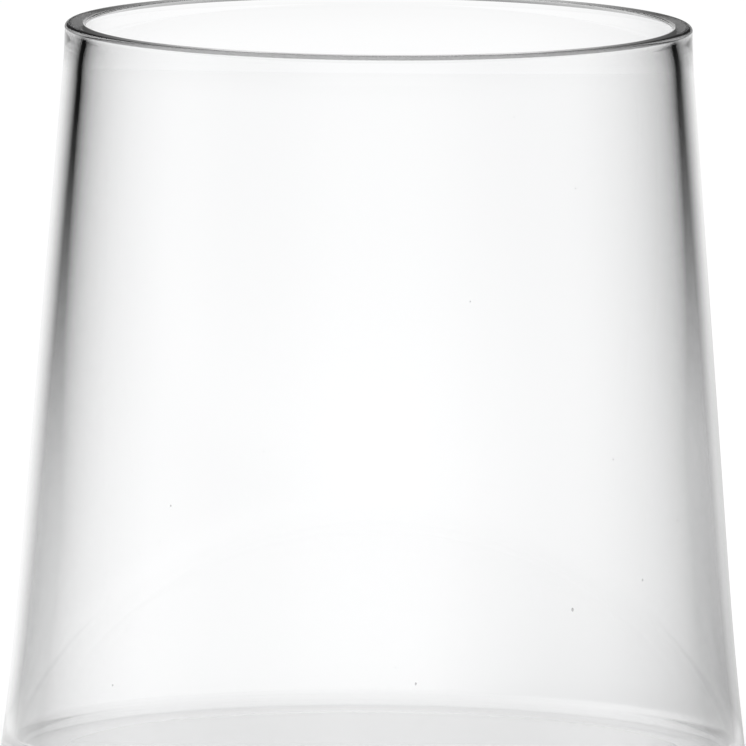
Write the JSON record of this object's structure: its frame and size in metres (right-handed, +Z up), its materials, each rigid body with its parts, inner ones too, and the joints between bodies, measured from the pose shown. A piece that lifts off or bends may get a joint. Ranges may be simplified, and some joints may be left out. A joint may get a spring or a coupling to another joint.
{
  "type": "glass vase",
  "caption": "Round clear glass vase, wider at the foot than at the open mouth, with a level rim and a thick flat floor, to hold cut flowers and water.",
  "frame": {"origin": "centre of the foot on the surface that the vase stands on", "axes": "+Z up along the vase's axis, towards the open mouth; the vase is round, so +X and +Y are any two level directions"},
  "size_m": [0.1488, 0.1488, 0.15],
  "materials": {
    "clear_glass": "clear colourless blown glass, polished smooth, with a cut and fire-polished rim"
  },
  "bodies": {
    "root": {"glass_vase": "clear_glass"}
  },
  "joints": []
}
